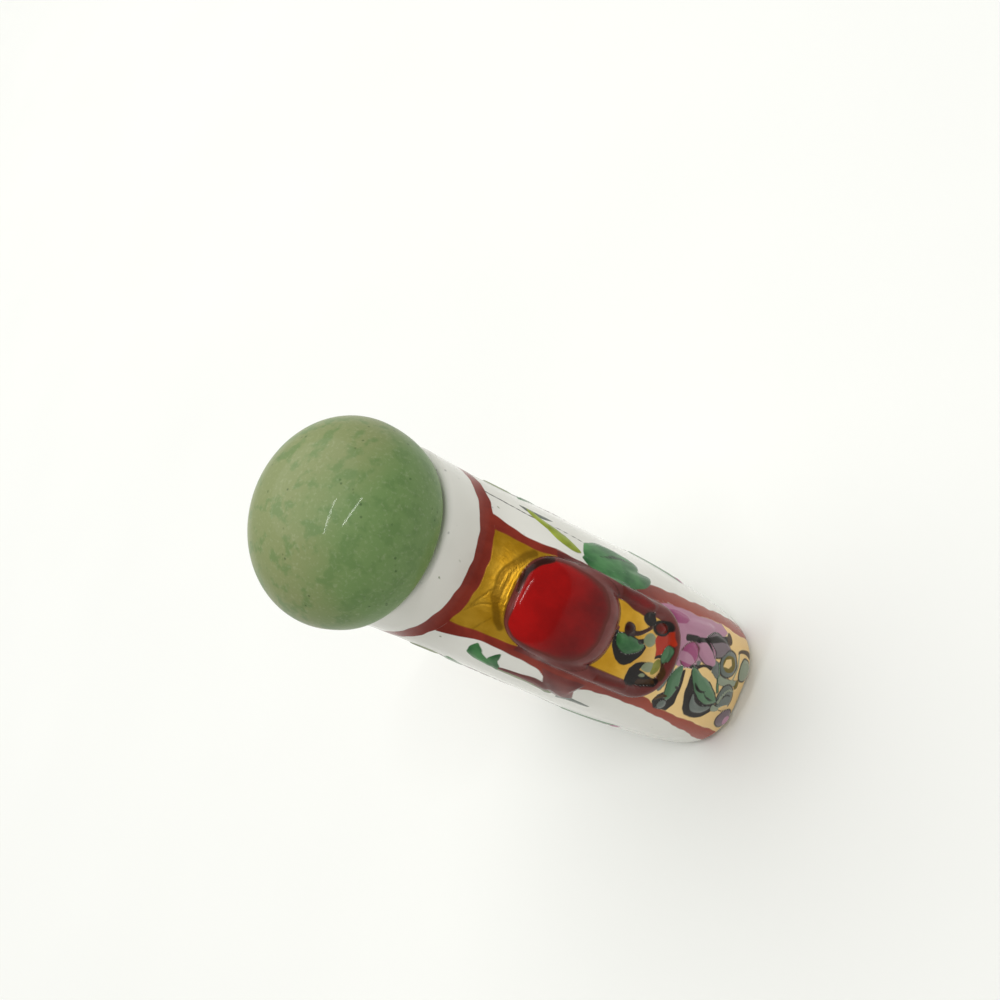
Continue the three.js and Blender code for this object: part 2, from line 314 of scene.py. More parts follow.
def figure(colour, shape, height=0.14, edge=0.1, ink="black"):
    """A painted figure with a dark outline, standing up a little towards its middle."""
    if edge:
        lay(ink, shape + edge)
    lay(colour, shape)
    np.maximum(swelling, height * smooth(shape, -0.1, 0.45), out=swelling)


def edge_line(*places):
    """An edge that runs down the wall through (across, down) places."""
    across, depth = np.array(places, float).T
    eased = np.interp(down, depth, across)
    for shift in (0.4, 0.8):
        eased = eased + np.interp(down - shift, depth, across) + np.interp(down + shift, depth, across)
    return eased / 5


# An iron-red band goes round the neck base. From it, two more run down each narrow side to the foot with a
# gilt ground between them. The boss and its loop have plum enamel, and the boss's crown has ruby.
painted_end = 41.6
neck_band = (0.12, 1.6)
band_start = 1
ground_start = 1.62
lapped = 0.2  # how far the red beside the loop laps over the ground's edges
loop_ground_start = 14
crown_half_width = 3.55
crown_half_length = 4.05
crown_middle = 8.95
crown_power = 3.2
left_outer = edge_line((-6.1, 1.4), (-5.4, 3.2), (-5.0, 5), (-4.95, 8), (-5.3, 11), (-5.9, 12.4), (-6, 15.4),
                       (-5.2, 16.4), (-5, 22), (-5.1, 27), (-5.5, 33), (-5.9, 38), (-6, 42))
left_inner = edge_line((-4.55, 1), (-4.35, 4.5), (-4.15, 7), (-3.9, 9), (-3.9, 25), (-4.45, 26.4), (-4.5, 42))
right_inner = edge_line((4.1, 1), (3.9, 3), (3.85, 5.5), (4.2, 9), (4.3, 19), (4.9, 23), (5.3, 28), (5.8, 33),
                        (5.65, 36), (5.6, 42))
right_outer = edge_line((5.3, 1), (5, 2.2), (4.7, 3.8), (4.5, 5.4), (4.65, 8.5), (4.6, 12), (5.0, 16),
                        (5.4, 18), (5.75, 20), (6, 23), (6.3, 28), (6.8, 36), (6.9, 42))


def narrow_side(flat, across):
    """The bands, the gilt ground and the enamels on the boss and the loop, which follow the moulding."""
    a, d = flat.across, flat.down
    end = painted_end - d
    lay("maroon", np.minimum(np.minimum(a - left_outer, right_outer - a), np.minimum(d - band_start, end)))
    lay("gold", np.minimum(np.minimum(a - left_inner, right_inner - a), np.minimum(d - ground_start, end)))
    beside_loop = np.minimum(np.minimum(a - left_inner - lapped, right_inner + lapped - a),
                             np.minimum(d - 8, loop_middle + 2 - d))
    lay("maroon", beside_loop)
    inside_loop = loop_radius - np.hypot(across, np.maximum(down - loop_middle, 0))
    lay("gold", np.minimum(inside_loop, down - loop_ground_start))
    loop_edge = loop_half_band + 0.1 - loop_distance(across)
    lay("plum", np.minimum(loop_edge, down - loop_start))
    outline_size = (abs(across / boss_half_width) ** boss_power
                    + abs((down - boss_middle) / boss_half_length) ** boss_power) ** (1 / boss_power)
    figure("plum", (1 - outline_size) * boss_half_width, 0, 0.06, "umber")
    crown = (abs(a / crown_half_width) ** crown_power
             + abs((d - crown_middle) / crown_half_length) ** crown_power) ** (1 / crown_power)
    lay("ruby", (1 - crown) * crown_half_width)


front = Flat(front_across, down)
back = Flat(back_across, down)
narrow_side(front, front_across)
narrow_side(back, back_across)
lay("maroon", np.minimum(front.down - neck_band[0], neck_band[1] - front.down))

# A dark umber stroke along the boss's near edge is painted reflection of the dark that its steep flank
# mirrors. Inside the front loop: a curled leaf and its tendril, a dark arch, a berry and small leaves.
lay("umber", front.stroke((0.1, 4.66), (1.9, 4.4), (3.5, 6.7), 0.14, 0.26))
lay("plum", front.patch((-0.9, 14), (1.0, 13.6), (1.0, 15.7), (-0.9, 15.4)))
figure("ruby", front.patch((3.3, 14.4), (4.3, 14), (4.5, 17), (4.0, 19.4), (2.7, 19.2), (2.9, 16.8)), 0.1, 0)
figure("ruby", front.stroke((-3.75, 15.6), (-3.9, 18), (-3.5, 19.6), 0.34), 0.1, 0)
lay("black", front.leaf((0.7, 15.4), (-2.4, 17.6), (0.4, 20.2), 1.05))
figure("emerald", front.leaf((0.4, 15.6), (-0.75, 17.6), (0.4, 19.9), 0.75), 0.3, 0.12)
figure("umber", front.oval((1.15, 17.0), (0.62, 0.72)), 0.25, 0.05)
figure("umber", front.stroke((0.85, 17.2), (1.0, 18.4), (2.1, 19.9), 0.26, 0.18), 0.2, 0.04)
lay("black", front.stroke((0.5, 18.9), (0.7, 19.4), (0.9, 19.8), 0.2, 0.24))
figure("celadon", front.oval((1.05, 20.4), (0.6, 0.9)), 0.12, 0.0)
lay("black", front.patch((-3.35, 19.5), (-2.7, 19.2), (-2.0, 19.25), (-1.45, 19.8), (-1.05, 20.6),
                         (-0.7, 21.7), (-1.25, 21.0), (-1.8, 20.7), (-2.0, 23.2), (-1.7, 24),
                         (-2.6, 23.4), (-3.2, 22)))
lay("umber", front.stroke((-2.85, 21.4), (-2.75, 22.4), (-2.2, 23.2), 0.3, 0.2))
lay("celadon", front.leaf((-2.35, 20.9), (-2.15, 21.4), (-2.1, 22.0), 0.17))
figure("celadon", front.leaf((-1.6, 20.8), (-1.1, 21.7), (-1.0, 23.0), 0.5), 0.12, 0.0)
lay("olive", front.oval((-0.95, 22.9), (0.8, 0.6), 30))
lay("umber", front.stroke((-1.7, 23.9), (-1.0, 24.1), (-0.3, 23.6), 0.24))
lay("orange", front.patch((-0.3, 22.3), (0.5, 21.8), (1.2, 21.1), (1.9, 21.4), (2.2, 22.7), (2.7, 23.1),
                          (1.7, 24.1), (0.6, 23.2)))
figure("ruby", front.oval((2.5, 21.5), (0.5, 1.0), -8), 0.25, 0.26)
lay("black", front.oval((2.75, 19.4), (0.6, 1.0)))
lay("black", front.stroke((-0.2, 22.3), (0.1, 22.8), (0.2, 23.6), 0.14, 0.2))
figure("emerald", front.oval((0.5, 23.65), (0.9, 0.62)), 0.2, 0.06)

# Below it: a many-petalled flower on the right, two leaves and a bud on the left, scrolls along the foot.
below_loop = np.hypot(front_across, np.maximum(down - loop_middle, 0)) - loop_radius - loop_half_band
lay("pink", np.minimum(front.patch((0.1, 23.5), (3.4, 20.6), (4.5, 20.4), (5.0, 23), (5.3, 28), (5.75, 33.4),
                                   (5.2, 34.6), (4.4, 33), (0.4, 29.2), (0.0, 27.4)), below_loop))
figure("magenta", np.minimum(front.leaf((3.7, 21.2), (4.3, 23.4), (4.4, 26.2), 0.55), below_loop), 0.16, 0)
figure("mauve", front.leaf((3.5, 29.6), (3.4, 32.6), (3.7, 35.2), 1.05), 0.24, 0.16)
figure("pink", front.leaf((2.9, 28.2), (2.5, 30.2), (1.6, 32.8), 0.95), 0.24, 0.12)
figure("magenta", front.oval((1.45, 27.5), (1.25, 1.5), -8), 0.26, 0.1, "umber")
lay("pink", front.leaf((0.9, 25.4), (1.2, 26.6), (0.9, 28.6), 0.5))
figure("pink", front.leaf((3.9, 25.4), (4.3, 27.8), (4.9, 31.6), 0.62), 0.2, 0)
lay("black", front.stroke((2.9, 26.2), (3.15, 27.2), (3.1, 28.3), 0.3, 0.3))
lay("black", front.stroke((3.1, 28.3), (3.9, 31.0), (4.65, 35.1), 0.22, 0.36))
lay("black", front.stroke((3.3, 29.8), (3.1, 30.9), (2.3, 31.8), 0.16, 0.1))
lay("black", front.stroke((0.5, 28.4), (0.95, 30.4), (1.2, 32.3), 0.2, 0.24))
lay("grey", front.oval((1.15, 29.6), (0.22, 0.42)))
lay("umber", front.stroke((-2.7, 25.3), (-1.2, 26.1), (1.6, 25.8), 0.08, 0.05))
figure("grey", front.stroke((-2.5, 25.0), (-1.4, 25.6), (0.1, 25.6), 0.36, 0.26), 0.1, 0.0)
lay("black", front.patch((-4.5, 26.2), (-3.9, 25.3), (-3.2, 25.4), (-2.7, 26.3), (-3.0, 27.4), (-1.8, 27.9),
                         (-0.2, 27.5), (0.0, 28.0), (-2.0, 28.5), (-3.4, 28.8), (-4.4, 28.5)))
figure("emerald", front.leaf((-3.4, 27.3), (-1.6, 26.4), (0.2, 27.1), 1.0), 0.24, 0.1)
lay("black", front.leaf((-1.8, 26.9), (-1.95, 27.4), (-1.8, 28.2), 0.14))
figure("grey", front.oval((-3.95, 27.0), (0.42, 0.6)), 0.22, 0.1)
figure("umber", front.stroke((-3.6, 25.5), (-3.2, 26.0), (-3.1, 26.7), 0.2, 0.14), 0.1, 0.0)
lay("black", front.leaf((0.0, 29.3), (-4.8, 31.2), (-2.0, 36.4), 1.15))
figure("grey", front.leaf((-1.8, 31.0), (-4.0, 31.8), (-2.4, 35.4), 0.45), 0.2, 0)
figure("emerald", front.leaf((0.55, 29.0), (-1.5, 32.4), (-1.7, 35.9), 0.95), 0.26, 0.17)
lay("black", front.leaf((-0.7, 30.2), (-1.6, 31.4), (-1.1, 32.7), 0.14))
lay("black", front.leaf((-1.3, 32.4), (-1.9, 33.6), (-1.7, 34.8), 0.1))
lay("gold", front.leaf((0.6, 30.1), (0.6, 32.2), (0.1, 34.1), 0.48))
figure("grey", front.patch((0.9, 32.6), (2.1, 32.4), (2.0, 33.8), (0.4, 34.6)), 0.15, 0.06)
figure("emerald", front.stroke((-0.6, 35.3), (0.6, 34.4), (1.9, 33.6), 0.14, 0.2), 0.15, 0.1)
figure("celadon", front.stroke((0.6, 34.9), (0.3, 36.8), (0.9, 38.2), 0.42, 0.3), 0.1, 0.06)
figure("grey", front.oval((2.35, 35.5), (1.35, 1.75)), 0.16, 0.16)
lay("olive", front.oval((2.35, 35.4), (0.9, 1.3)))
lay("gold", front.patch((1.8, 34.3), (2.6, 34.4), (2.95, 35.5), (2.4, 35.95), (1.9, 35.4)))
lay("umber", front.oval((4.7, 35.0), (0.55, 0.6)))
figure("grey", front.oval((-0.9, 37.4), (1.3, 1.6)), 0.2, 0.14)
figure("celadon", front.stroke((-2.4, 35.9), (-2.5, 36.8), (-1.9, 37.2), 0.34, 0.2), 0.1, 0.04)
lay("black", front.stroke((-1.0, 36.6), (-0.5, 36.9), (-0.6, 38.0), 0.12, 0.05))
figure("celadon", front.stroke((-1.6, 36.3), (0.2, 36.0), (0.0, 38.6), 0.16, 0.1), 0.24, 0.04)
lay("gold", front.leaf((-2.2, 37.0), (-1.75, 37.7), (-1.75, 39.0), 0.3))
figure("mauve", front.oval((-2.9, 39.4), (0.95, 1.4), -12), 0.22, 0.14)
lay("pink", front.oval((-2.95, 39.7), (0.5, 0.6)))
lay("celadon", front.stroke((0.9, 37.5), (2.2, 37.8), (3.7, 37.5), 0.14))
figure("celadon", front.oval((2.5, 39.5), (1.15, 1.2)), 0.18, 0.16)
figure("olive", front.oval((0.85, 38.7), (0.5, 0.4)), 0.1, 0.05)
lay("umber", front.stroke((3.8, 37.3), (4.7, 38.8), (4.1, 40.5), 0.14, 0.3))

# Round the corners of the front: leaves and a grass blade on the right face, a branch on the left one.
lay("black", front.stroke((7.6, 1.2), (7.2, 4.4), (6.9, 6.9), 0.05, 0.09))
lay("black", front.stroke((6.9, 8.0), (6.7, 9.6), (6.3, 11.4), 0.04, 0.06))
figure("grey", front.leaf((8.3, 5.6), (7.5, 6.6), (7.9, 8.8), 0.4), 0.08, 0)
figure("olive", front.leaf((8.2, 6.2), (5.9, 7.3), (5.35, 10.1), 0.55), 0.08, 0)
figure("emerald", front.leaf((5.0, 10.0), (4.6, 14.6), (6.05, 19.8), 0.85), 0.14, 0)
figure("emerald", front.leaf((5.2, 10.3), (6.7, 13.6), (6.7, 18.4), 1.15), 0.14, 0)
lay("black", front.leaf((5.7, 12.0), (6.3, 14.4), (6.6, 17.4), 0.07))
figure("emerald", front.leaf((-5.3, 5.2), (-6.8, 5.8), (-7.5, 9.2), 0.5), 0.1, 0)
figure("emerald", front.leaf((-5.3, 7.3), (-6.5, 7.5), (-7.7, 9.6), 0.4), 0.1, 0)
figure("celadon", front.stroke((-7.3, 9.6), (-6.7, 11.5), (-7.4, 15.0), 0.34, 0.3), 0.1, 0)
figure("plum", front.stroke((-7.0, 9.2), (-6.2, 10.8), (-6.8, 14.0), 0.26, 0.46), 0.1, 0)
figure("plum", front.patch((-5.0, 10.8), (-5.9, 12.1), (-6.9, 14.5), (-7.6, 17.2), (-6.7, 17.3), (-6.0, 15.9),
                           (-5.0, 15.9)), 0.16, 0)
figure("grey", front.stroke((-7.2, 16.6), (-7.0, 18.2), (-6.9, 20.1), 0.5, 0.16), 0.1, 0)

# A few specks of the furnace's ash on the neck and shoulder.
for at in ((0.3, -1.3), (-1.6, -2.4), (6.1, 2.4), (-6.4, 2.7)):
    lay("celadon", front.oval(at, (0.08, 0.12), 30))


# Each broad face has a flowering spray, and the back narrow side a plainer flower and leaves.
def blossom(flat, at, size):
    """A flower of five petals round a magenta heart, size being how far out the petals' middles are."""
    for petal in range(5):
        angle = 2 * math.pi * (petal + 0.3) / 5
        middle = (at[0] + size * math.cos(angle), at[1] + size * math.sin(angle))
        figure("pink", flat.oval(middle, (size * 0.85, size * 0.7), math.degrees(angle)), 0.1, 0)
    lay("magenta", flat.oval(at, (size * 0.85, size * 0.85)))
    figure("olive", flat.oval(at, (size * 0.4, size * 0.4)), 0.08, 0)


def spray(flat, lean):
    """A branch with twigs, leaves, flowers and buds, turned over from side to side where lean is -1."""
    figure("umber", flat.stroke((-9 * lean, 38), (-4 * lean, 27), (0, 24), 0.6, 0.4), 0.1, 0)
    figure("umber", flat.stroke((0, 24), (4 * lean, 20), (5 * lean, 11), 0.4, 0.2), 0.1, 0)
    for twig in (((-3, 26), (-6, 25), (-8, 20)), ((1, 23), (6, 24), (9, 29)), ((4, 17), (1, 15), (0, 10)),
                 ((-6, 31), (-3, 33), (1, 35)), ((5, 13), (3, 11), (4, 7))):
        start, bend, tip = [(lean * x, y) for x, y in twig]
        figure("umber", flat.stroke(start, bend, tip, 0.3, 0.2), 0.08, 0)
        figure("emerald", flat.leaf(bend, bend, (tip[0] + lean, tip[1]), 0.9), 0.1, 0)
        young_leaf = flat.leaf(tip, (tip[0] - lean, tip[1] - 1), (tip[0] - 2 * lean, tip[1] - 3), 0.7)
        figure("celadon", young_leaf, 0.1, 0)
    blossom(flat, (-0.5 * lean, 22.5), 1.5)
    blossom(flat, (1.5 * lean, 12.5), 1.2)
    blossom(flat, (-7.6 * lean, 18.6), 1.1)
    blossom(flat, (2.5 * lean, 34.5), 1.1)
    figure("magenta", flat.oval((9 * lean, 29.5), (0.8, 0.6)), 0.1, 0)
    figure("magenta", flat.oval((0.2 * lean, 9.2), (0.7, 0.5)), 0.1, 0)


def face(side, direction):
    """A broad face laid out flat, with every other place far off."""
    return Flat(np.where(sides == side, direction * along_x, elsewhere), down)


spray(face("+Y", 1), 1)
spray(face("-Y", -1), -1)
figure("emerald", back.leaf((0.4, 16.4), (-1.6, 18.2), (0.6, 20.2), 1.0), 0.24, 0.3)
figure("umber", back.stroke((1.0, 17.0), (2.1, 18.0), (1.4, 20.4), 0.3, 0.26), 0.2, 0)
figure("ruby", back.oval((-1.3, 22.0), (0.8, 0.7)), 0.2, 0.26)
figure("emerald", back.leaf((-4.0, 28.0), (-1.6, 26.4), (0.2, 27.8), 0.9), 0.2, 0)
figure("emerald", back.leaf((4.6, 35.5), (2.6, 33.0), (0.6, 32.4), 0.9), 0.2, 0)
blossom(back, (0.4, 29.8), 1.4)
figure("grey", back.oval((-1.8, 37.4), (1.4, 1.3)), 0.16, 0.28)
figure("celadon", back.oval((2.0, 38.6), (1.5, 1.1)), 0.16, 0.28)

# The gilding on the upper panels has dulled creases along the boss's edge and above it, and two broad dark
# bows there that are painted reflection of the boss in the gilt.
crease_and_painted_reflection = np.full(front_across.shape, unpainted)
for flat in (front, back):
    for start, bend, end, wide, last in (((-3.3, 5.2), (0.2, 0.6), (3.6, 5.4), 0.3, 0.3),
                                         ((-1.4, 3.7), (0.2, 3.1), (2.4, 4.3), 0.26, 0.1),
                                         ((-3.2, 1.8), (-2.2, 2.2), (-1.8, 3.3), 0.05, 0.08),
                                         ((-2.6, 1.9), (-1.2, 2.5), (0.4, 3.2), 0.09, 0.07),
                                         ((-4.3, 3.6), (-3.6, 3.8), (-2.9, 4.1), 0.07, 0.03),
                                         ((2.0, 4.3), (3.0, 5.4), (4.0, 5.7), 0.05, 0.04)):
        np.maximum(crease_and_painted_reflection, flat.stroke(start, bend, end, wide, last), out=crease_and_painted_reflection)

outer_wall = outer[:, None]
rise += np.where(outer_wall, swelling, 0)
paint["crease_and_painted_reflection"] = crease_and_painted_reflection
for name, field in paint.items():
    kept = np.clip(field, unpainted, -unpainted)
    paint[name] = np.where(outer_wall & (down > painted_from), kept, unpainted)

# The mesh: the wall with its moulding is one sheet wrapped round, closed at the seam and at the middle of the
# foot and of the inside floor. Nothing stands out past the plain wall's broad faces or below its foot.
round_way = np.roll(places, -1, axis=1) - np.roll(places, 1, axis=1)
up_way = np.gradient(places, axis=0)
off_wall = np.cross(round_way, up_way)
off_wall /= np.maximum(np.linalg.norm(off_wall, axis=2, keepdims=True), 1e-9)
places = places + off_wall * rise[:, :, None]
within = 0.002
widest = half_depth - within
places[:, :, 1] = np.clip(places[:, :, 1], -widest, widest)
places[:, :, 2] = np.maximum(places[:, :, 2], 0)

sheet = bmesh.new()
bmesh.ops.create_grid(sheet, x_segments=columns, y_segments=len(rows) - 1, size=1)
row_mark = sheet.verts.layers.int.new("row")
column_mark = sheet.verts.layers.int.new("column")
for point in sheet.verts:
    column = round((point.co.x + 1) / 2 * columns) % columns
    row = round((point.co.y + 1) / 2 * (len(rows) - 1))
    point[row_mark] = row
    point[column_mark] = column
    point.co = places[row, column] * millimetre
bmesh.ops.remove_doubles(sheet, verts=sheet.verts, dist=1e-7)
bmesh.ops.recalc_face_normals(sheet, faces=sheet.faces)
bottle_mesh = bpy.data.meshes.new("porcelain_bottle")
sheet.to_mesh(bottle_mesh)
sheet.free()
bottle_mesh.shade_smooth()


def read_marks(name):
    values = np.zeros(len(bottle_mesh.vertices), np.int32)
    bottle_mesh.attributes[name].data.foreach_get("value", values)
    return values


marked = (read_marks("row"), read_marks("column"))
layers = dict(paint, down=np.broadcast_to(down, rise.shape))
for name, values in layers.items():
    layer = bottle_mesh.attributes.new(name, "FLOAT", "POINT")
    layer.data.foreach_set("value", np.ascontiguousarray(values[marked], np.float32))
for name in ("row", "column"):
    bottle_mesh.attributes.remove(bottle_mesh.attributes[name])
bottle = bpy.data.objects.new("porcelain_bottle", bottle_mesh)
bpy.context.collection.objects.link(bottle)
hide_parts("bottle")
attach(bottle, "root")

# The finish: a clear, slightly grey glaze over white paste with a few pits, glassy and uneven enamels, and
# gilding that has worn and wrinkled, with painted reflection of the boss darkening it above the boss.


class Wire:
    """One socket of a shader. Arithmetic on it adds Math nodes."""

    def __init__(self, finish, socket):
        self.finish = finish
        self.socket = socket

    def maths(self, operation, *values):
        inputs = dict(enumerate(values))
        return self.finish.add("Math", {"operation": operation}, inputs)

    def __add__(self, other):
        return self.maths("ADD", self, other)

    __radd__ = __add__

    def __sub__(self, other):
        return self.maths("SUBTRACT", self, other)

    def __rsub__(self, other):
        return self.maths("SUBTRACT", other, self)

    def __mul__(self, other):
        return self.maths("MULTIPLY", self, other)

    __rmul__ = __mul__

    def __truediv__(self, other):
        return self.maths("DIVIDE", self, other)

    def __rtruediv__(self, other):
        return self.maths("DIVIDE", other, self)

    def at_least(self, low):
        return self.maths("MAXIMUM", self, low)

    def at_most(self, high):
        return self.maths("MINIMUM", self, high)

    def between(self, low, high):
        """0 up to low, 1 from high on."""
        inputs = {"Value": self, "From Min": low, "From Max": high}
        return self.finish.add("MapRange", {"interpolation_type": "SMOOTHSTEP", "clamp": True}, inputs)


class Finish:
    """A material, its shader and the one way in which nodes are added to it."""

    def __init__(self, name):
        self.material = bpy.data.materials.new(name)
        self.material.use_nodes = True
        self.tree = self.material.node_tree
        self.shader = self.tree.nodes["Principled BSDF"]

    def add(self, kind, settings, inputs, output=0):
        """Adds a node of a kind, with its settings and then its sockets' values or links."""
        node = self.tree.nodes.new("ShaderNode" + kind)
        for name, value in settings.items():
            setattr(node, name, value)
        for name, value in inputs.items():
            self.feed(node.inputs[name], value)
        return Wire(self, node.outputs[output])

    def feed(self, socket, value):
        if isinstance(value, Wire):
            self.tree.links.new(value.socket, socket)
        else:
            socket.default_value = value

    def place(self, scale=(1, 1, 1)):
        """The place on the piece, in millimetres, stretched by scale."""
        spot = self.add("TexCoord", {}, {}, "Object")
        factors = tuple(factor / millimetre for factor in scale)
        return self.add("VectorMath", {"operation": "MULTIPLY"}, {0: spot, 1: factors})

    def noise(self, scale, detail=3, stretch=(1, 1, 1), roughness=0.55):
        inputs = {"Vector": self.place(stretch), "Scale": scale, "Detail": detail, "Roughness": roughness}
        return self.add("TexNoise", {}, inputs)

    def mix(self, share, first, second):
        """A mix of two colours."""
        return self.add("Mix", {"data_type": "RGBA"}, {0: share, 6: first, 7: second}, 2)

    def blend(self, share, first, second):
        """A mix of two numbers."""
        return self.add("Mix", {"data_type": "FLOAT"}, {0: share, 2: first, 3: second})

    def bump(self, height, strength, depth):
        inputs = {"Height": height, "Strength": strength, "Distance": depth * millimetre}
        self.feed(self.shader.inputs["Normal"], self.add("Bump", {}, inputs))


def colour(code):
    """A linear colour from a paint chart's six-figure code."""
    parts = [int(code[at:at + 2], 16) / 255 for at in (0, 2, 4)]
    linear = [part / 12.92 if part <= 0.04045 else ((part + 0.055) / 1.055) ** 2.4 for part in parts]
    return (*linear, 1)


glaze = Finish("glazed_porcelain")
cloud = glaze.noise(0.09, 2)
speck = glaze.add("TexVoronoi", {"feature": "F1"}, {"Vector": glaze.place(), "Scale": 0.9}, "Distance")
speck_choice = glaze.noise(0.55, 1).between(0.56, 0.66)
pit = (1 - speck.between(0.05, 0.16)) * speck_choice
skin = glaze.mix(cloud.between(0.35, 0.7), colour("eeede6"), colour("e4e3db"))
skin = glaze.mix(pit * 0.55, skin, colour("8d8f8a"))

# Each enamel's deep tint where it lies thick, its paler tint where it lies thin, its tint low on the bottle,
# and how rough it is. The low tints are painted light: mostly paler than the rest, and in the gold a painted
# reflection of the white paper where the wall curves under.
tints = {
    "maroon": ("7a2a20", "92382a", "a04028", 0.2), "plum": ("5f2523", "7c3d39", "6c322e", 0.16),
    "ruby": ("660708", "ae1110", "951a16", 0.1), "gold": ("b98818", "d8a834", "ecca8c", 0.34),
    "emerald": ("2f6038", "558f56", "5b8160", 0.16), "celadon": ("76825e", "959e7c", "959e89", 0.18),
    "olive": ("79851f", "b0bf4f", "73641f", 0.2), "orange": ("a31f0f", "c0381d", "c0381d", 0.18),
    "magenta": ("8e3a68", "ac5484", "a4507c", 0.16), "pink": ("b0648a", "c883a4", "bd8aa2", 0.16),
    "mauve": ("624f53", "88767a", "7e6f76", 0.18), "grey": ("48504b", "717971", "717973", 0.2),
    "umber": ("2a100c", "4a221a", "4a3418", 0.22), "black": ("0c0807", "1c1410", "1c1410", 0.25),
}
edge_softness = 0.05
bleed = glaze.noise(0.5, 2) * 0.04
streak = glaze.noise(0.45, 3, (1, 1, 0.6)).between(0.3, 0.72)
depth_down = glaze.add("Attribute", {"attribute_name": "down"}, {}, "Fac")
# Lower than the loop, the enamels turn to their low tints, which are painted light.
low = depth_down.between(17, 27)
# The ruby is paler in random streaks, and painted lighter towards the neck as painted light on the boss's
# upper side.
ruby_streak_and_painted_light = streak * 0.35 + (1 - depth_down.between(6.5, 11.5)) * 0.65  # streaky, and painted light on the boss's upper side towards the neck
masks = {}
covered = 0.0
colour_sum = None
rough_sum = 0.0
for name, (deep, pale, low_painted_tint, rough) in tints.items():
    inside = glaze.add("Attribute", {"attribute_name": name}, {}, "Fac") + bleed
    masks[name] = inside.between(-edge_softness, edge_softness)
    paleness_and_ruby_painted_light = ruby_streak_and_painted_light if name == "ruby" else streak
    tint = glaze.mix(paleness_and_ruby_painted_light, colour(deep), colour(pale))
    tint = glaze.mix(low, tint, colour(low_painted_tint))
    if name == "ruby":
        dark_rim_and_painted_shade = depth_down.between(6, 11) * 0.7 + 0.1  # how wide its dark rim is, widened away from the neck as painted shade on the boss's lower flank
        tint = glaze.mix(inside.between(0, dark_rim_and_painted_shade), colour("602018"), tint)
    laid = glaze.add("VectorMath", {"operation": "SCALE"}, {0: tint, "Scale": masks[name]})
    colour_sum = laid if colour_sum is None else glaze.add("VectorMath", {}, {0: colour_sum, 1: laid})
    covered = masks[name] + covered
    rough_sum = masks[name] * rough + rough_sum
least_cover = 0.001
full = covered.at_least(least_cover)
coverage = covered.at_most(1.0)
enamel = glaze.add("VectorMath", {"operation": "SCALE"}, {0: colour_sum, "Scale": 1 / full})
# The creases and the painted reflection of the boss darken the gilt.
crease_and_reflection_share = glaze.add("Attribute", {"attribute_name": "crease_and_painted_reflection"}, {}, "Fac").between(-0.12, 0.16)
dulled_and_painted_reflection = crease_and_reflection_share * masks["gold"]
enamel = glaze.mix(dulled_and_painted_reflection * 0.6, enamel, colour("5a3c06"))
gilt = masks["gold"] / full
wrinkle = glaze.noise(1.1, 4, (1, 1.6, 0.8), 0.65)
relief = wrinkle * gilt * 0.8 + streak * 0.1 + coverage * 0.3 - dulled_and_painted_reflection * 0.4
glaze.feed(glaze.shader.inputs["Base Color"], glaze.mix(coverage, skin, enamel))
glaze.feed(glaze.shader.inputs["Specular IOR Level"], 0.15)
glaze.feed(glaze.shader.inputs["Roughness"], glaze.blend(coverage, 0.1, rough_sum / full))
glaze.feed(glaze.shader.inputs["Metallic"], gilt * coverage * 0.75)
glaze.bump(relief, 0.5, 0.1)
bottle_mesh.materials.append(glaze.material)

# ---- the stopper --------------------------------------------------------------------------------------
# A cabochon of green aventurine, ground and polished by hand, domed above its widest level and drawn in
# below to a flat underside. The real one rests on the lip, fixed to the cork that goes into the neck. Here it
# stands just clear of both, as its own solid does.
stone_radius = 8.9
stone_seat = 7.7
stone_under = 3.2
stone_crown = 6.4
stone_girdle = (0.0, -0.7, 47.4)  # the middle of its widest level
stone_base = 43.9
stone_chamfer = 0.4
lean_angle = math.radians(6.2)
stone_lean = Matrix.Rotation(lean_angle, 3, "Y") @ Matrix.Rotation(lean_angle, 3, "X")
quarter_steps = 36
round_steps = 160

stone = bmesh.new()
profile = [stone.verts.new((0, 0, -stone_under)),
           stone.verts.new((stone_seat - stone_chamfer, 0, -stone_under))]
for step in range(1, quarter_steps):
    angle = math.pi / 2 * (1 - step / quarter_steps)
    out = stone_seat + (stone_radius - stone_seat) * math.cos(angle)
    profile.append(stone.verts.new((out, 0, -stone_under * math.sin(angle))))
for step in range(quarter_steps):
    angle = math.pi / 2 * step / quarter_steps
    profile.append(stone.verts.new((stone_radius * math.cos(angle), 0, stone_crown * math.sin(angle))))
profile.append(stone.verts.new((0, 0, stone_crown)))
edges = [stone.edges.new(pair) for pair in zip(profile, profile[1:])]
bmesh.ops.spin(stone, geom=profile + edges, cent=(0, 0, 0), axis=(0, 0, 1), angle=2 * math.pi,
               steps=round_steps, use_merge=True)
bmesh.ops.remove_doubles(stone, verts=stone.verts, dist=1e-4)
bmesh.ops.recalc_face_normals(stone, faces=stone.faces)
# The dome leans, as a hand-ground stone's may, but the flat underside stays level over the lip.
for point in stone.verts:
    leaning = stone_lean @ point.co + Vector(stone_girdle)
    level = point.co + Vector((stone_girdle[0], stone_girdle[1], stone_base + stone_under))
    below = min(max(-point.co.z / stone_under, 0), 1)
    point.co = leaning.lerp(level, below) * millimetre
stopper_mesh = bpy.data.meshes.new("stone_stopper")
stone.to_mesh(stopper_mesh)
stone.free()
stopper_mesh.shade_smooth()
stopper = bpy.data.objects.new("stone_stopper", stopper_mesh)
bpy.context.collection.objects.link(stopper)
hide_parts("stopper")
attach(stopper, "root")

